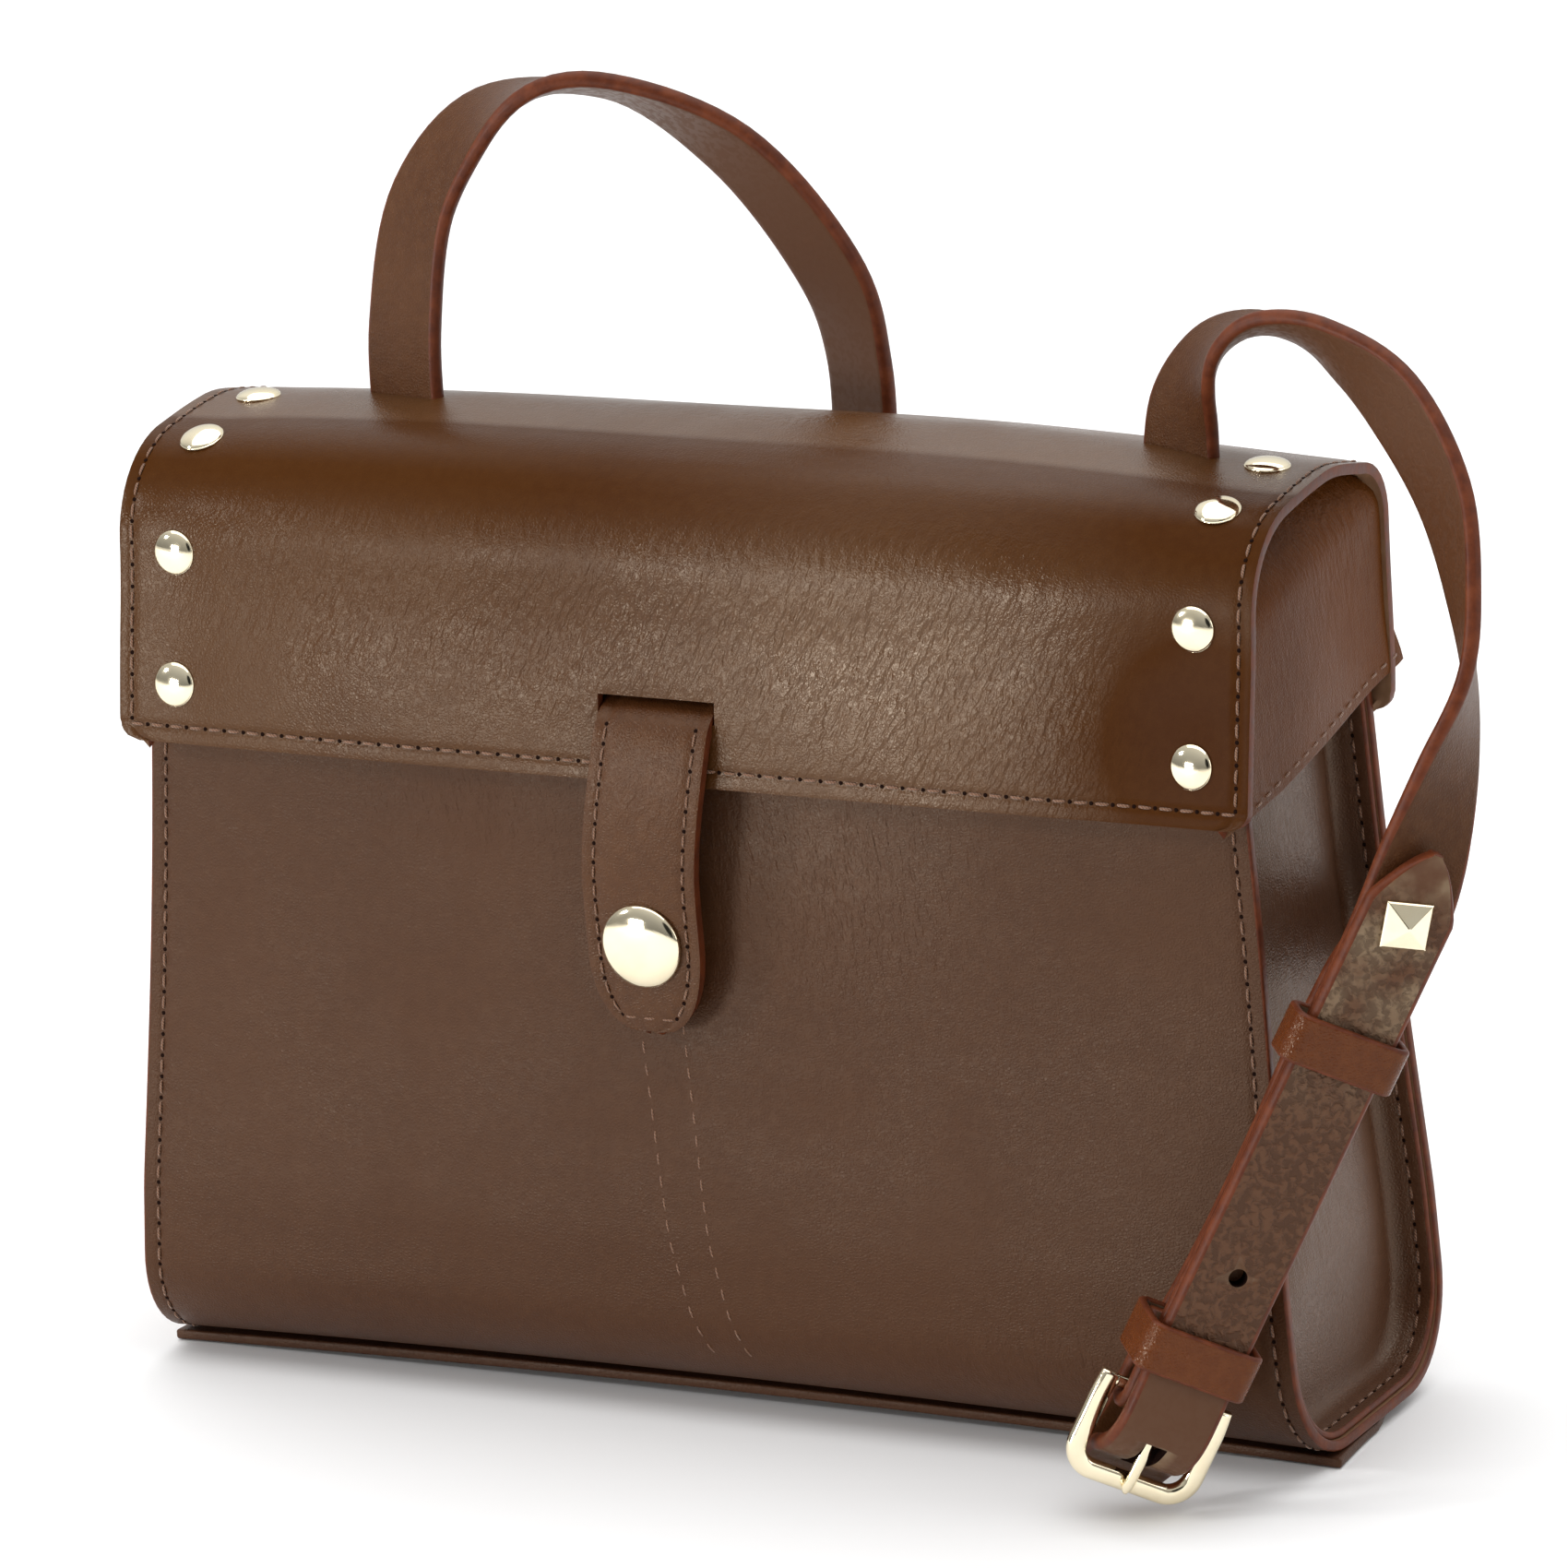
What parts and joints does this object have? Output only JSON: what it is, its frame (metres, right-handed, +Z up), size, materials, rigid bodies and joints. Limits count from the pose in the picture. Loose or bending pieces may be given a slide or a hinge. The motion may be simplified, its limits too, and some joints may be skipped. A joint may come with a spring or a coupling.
{
  "type": "satchel bag",
  "caption": "Small leather satchel with a stiff box lid, a magnetic snap tab, recessed side gussets and one adjustable shoulder strap with a pin buckle and keepers.",
  "frame": {"origin": "on the floor under the middle of the base panel", "axes": "+Z up, front of the bag faces -Y, +X to the right seen from the front"},
  "size_m": [0.3032, 0.1218, 0.267],
  "materials": {
    "body_leather": "smooth waxed cow leather with a soft sheen and fine creases",
    "lid_leather": "smooth waxed cow leather, a little shinier where it bends over the top",
    "gusset_leather": "thinner smooth leather, softly bulged",
    "base_leather": "leather with painted edges",
    "tab_leather": "doubled smooth leather, stitched round",
    "strap_leather": "smooth on the face, pebbled on the back, painted edges",
    "lining_cloth": "plain woven cotton twill",
    "board": "cloth-covered fibre board",
    "gold": "polished pale gold plating",
    "steel": "plain nickel washer"
  },
  "bodies": {
    "bag": {"body_wrap": "body_leather", "base_panel": "base_leather", "gusset_left": "gusset_leather", "gusset_right": "gusset_leather", "base_board": "board", "lining": "lining_cloth", "inner_pocket": "lining_cloth", "tab_strip": "body_leather", "magnet_base": "gold", "magnet_washer": "steel", "strap_long": "strap_leather", "strap_short": "strap_leather", "pyramid_stud": "gold", "fixed_keeper": "strap_leather", "buckle_frame": "gold"},
    "lid": {"lid_wrap": "lid_leather", "lid_ear_left": "lid_leather", "lid_ear_right": "lid_leather", "lid_rivets": "gold", "lid_rivet_washers": "steel", "strap_patches": "body_leather", "strap_left_arc": "strap_leather", "strap_right_arc": "strap_leather"},
    "tab": {"closure_tab": "tab_leather", "snap_cap": "gold", "snap_socket": "gold"},
    "keeper": {"sliding_keeper": "strap_leather"},
    "prong": {"buckle_prong": "gold"}
  },
  "joints": [
    {"name": "lid_hinge", "type": "hinge", "parent": "bag", "child": "lid", "pos_m": [0, 0.0346, 0.1505], "axis": [-1, 0, 0], "range_deg": [0, 95]},
    {"name": "tab_hinge", "type": "hinge", "parent": "lid", "child": "tab", "pos_m": [-0.0027, -0.0409, 0.149], "axis": [-1, 0, 0], "range_deg": [0, 75]},
    {"name": "keeper_slide", "type": "slide", "parent": "bag", "child": "keeper", "axis": [0.3949, 0.2281, 0.89], "range_m": [-0.04, 0.01]},
    {"name": "prong_pivot", "type": "hinge", "parent": "bag", "child": "prong", "pos_m": [0.11118, -0.05873, 0.02534], "axis": [-0.697, -0.5567, 0.4519], "range_deg": [0, 12]}
  ]
}
